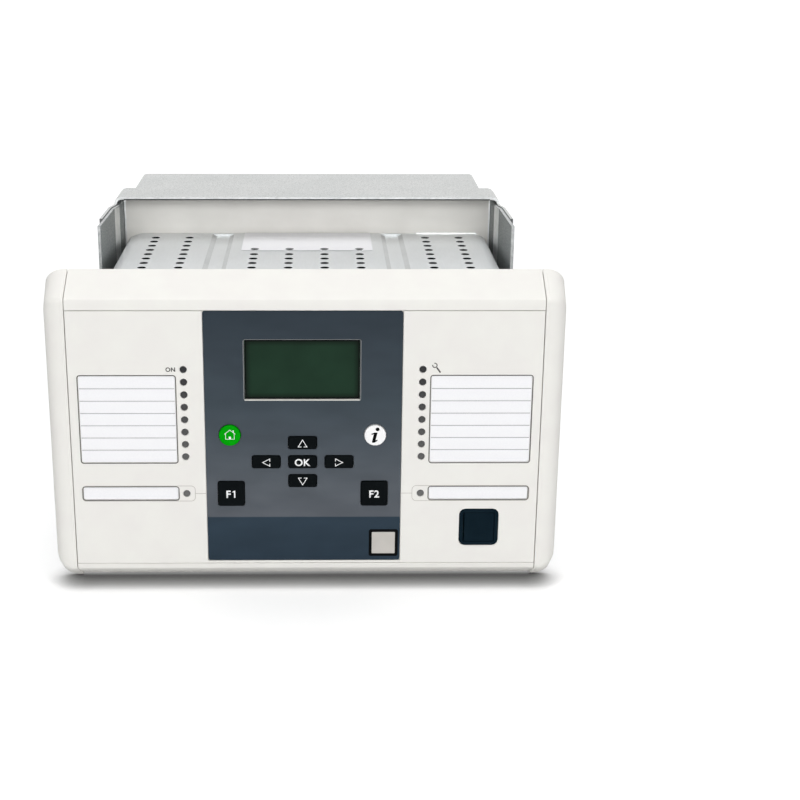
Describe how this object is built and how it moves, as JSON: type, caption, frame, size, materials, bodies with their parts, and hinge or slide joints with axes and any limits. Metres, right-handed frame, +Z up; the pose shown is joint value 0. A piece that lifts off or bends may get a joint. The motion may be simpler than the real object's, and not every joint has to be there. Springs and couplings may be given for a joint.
{
  "type": "protection relay",
  "caption": "Panel-mounted protection relay: cream front unit with LCD, sprung keys, lamps, label windows and hinged port flap, a perforated steel case and a galvanised rear bracket.",
  "frame": {"origin": "centre of the footprint in X and Y, at the height of the lowest edges of the bracket and the front unit", "axes": "+X to the right seen from the front, +Y from the front unit to the rear bracket, +Z up"},
  "size_m": [0.27, 0.2362, 0.185],
  "materials": {
    "cream_plastic": "smooth satin moulding",
    "navy_panel": "matt film",
    "navy_flap": "fine matt",
    "key_black": "satin",
    "key_green": "satin",
    "key_white": "satin",
    "lcd_glass": "clear window over a dark display",
    "lamp": "smoked clear plastic",
    "label_white": "paper behind film",
    "rubber": "soft foam and silicone",
    "board_green": "solder mask",
    "galvanised": "zinc coated, finely speckled",
    "case_sheet": "satin zinc coated sheet",
    "grey_plastic": "pale matt paint",
    "terminal_green": "moulded",
    "core_steel": "laminated steel and winding",
    "bright_metal": "bright zinc"
  },
  "bodies": {
    "housing": {"front_frame": "cream_plastic", "end_cap_left": "cream_plastic", "end_cap_right": "cream_plastic", "fascia": "cream_plastic", "display_panel": "navy_panel", "lcd_window": "lcd_glass", "lcd_module": "board_green", "keypad_mat": "rubber", "light_guide_left": "lamp", "light_guide_right": "lamp", "label_card_left": "label_white", "label_card_right": "label_white", "function_card_left": "label_white", "function_card_right": "label_white", "port_frame": "navy_flap", "port_socket": "bright_metal", "front_board": "board_green", "back_plate": "galvanised", "panel_gasket": "rubber", "case_cover": "case_sheet", "case_tray": "case_sheet", "rating_label": "label_white", "rear_bulkhead": "grey_plastic", "backplane": "board_green", "card_1": "board_green", "card_2": "board_green", "card_3": "board_green", "card_4": "board_green", "card_5": "board_green", "supply_transformer": "core_steel", "terminal_block_1": "terminal_green", "terminal_block_2": "terminal_green", "terminal_block_3": "terminal_green", "terminal_block_4": "terminal_green", "terminal_block_5": "terminal_green", "earth_stud": "bright_metal", "rear_bracket": "galvanised", "arm_left": "galvanised", "arm_right": "galvanised", "bracket_screw_left_lower": "bright_metal", "bracket_screw_left_upper": "bright_metal", "bracket_screw_right_lower": "bright_metal", "bracket_screw_right_upper": "bright_metal"},
    "port_flap": {"port_flap": "navy_flap"},
    "key_left": {"key_left": "key_black"},
    "key_right": {"key_right": "key_black"},
    "key_up": {"key_up": "key_black"},
    "key_down": {"key_down": "key_black"},
    "key_ok": {"key_ok": "key_black"},
    "key_f1": {"key_f1": "key_black"},
    "key_f2": {"key_f2": "key_black"},
    "key_home": {"key_home": "key_green"},
    "key_info": {"key_info": "key_white"}
  },
  "joints": [
    {"name": "flap_hinge", "type": "hinge", "parent": "housing", "child": "port_flap", "pos_m": [0.08545, -0.1161, 0.0359], "axis": [0, 0, -1], "range_deg": [0, 95]},
    {"name": "key_left_press", "type": "slide", "parent": "housing", "child": "key_left", "axis": [0, 1, 0], "range_m": [0, 0.0008], "stiffness_N_per_m": 400},
    {"name": "key_right_press", "type": "slide", "parent": "housing", "child": "key_right", "axis": [0, 1, 0], "range_m": [0, 0.0008], "stiffness_N_per_m": 400},
    {"name": "key_up_press", "type": "slide", "parent": "housing", "child": "key_up", "axis": [0, 1, 0], "range_m": [0, 0.0008], "stiffness_N_per_m": 400},
    {"name": "key_down_press", "type": "slide", "parent": "housing", "child": "key_down", "axis": [0, 1, 0], "range_m": [0, 0.0008], "stiffness_N_per_m": 400},
    {"name": "key_ok_press", "type": "slide", "parent": "housing", "child": "key_ok", "axis": [0, 1, 0], "range_m": [0, 0.0008], "stiffness_N_per_m": 400},
    {"name": "key_f1_press", "type": "slide", "parent": "housing", "child": "key_f1", "axis": [0, 1, 0], "range_m": [0, 0.0008], "stiffness_N_per_m": 400},
    {"name": "key_f2_press", "type": "slide", "parent": "housing", "child": "key_f2", "axis": [0, 1, 0], "range_m": [0, 0.0008], "stiffness_N_per_m": 400},
    {"name": "key_home_press", "type": "slide", "parent": "housing", "child": "key_home", "axis": [0, 1, 0], "range_m": [0, 0.0008], "stiffness_N_per_m": 400},
    {"name": "key_info_press", "type": "slide", "parent": "housing", "child": "key_info", "axis": [0, 1, 0], "range_m": [0, 0.0008], "stiffness_N_per_m": 400}
  ]
}
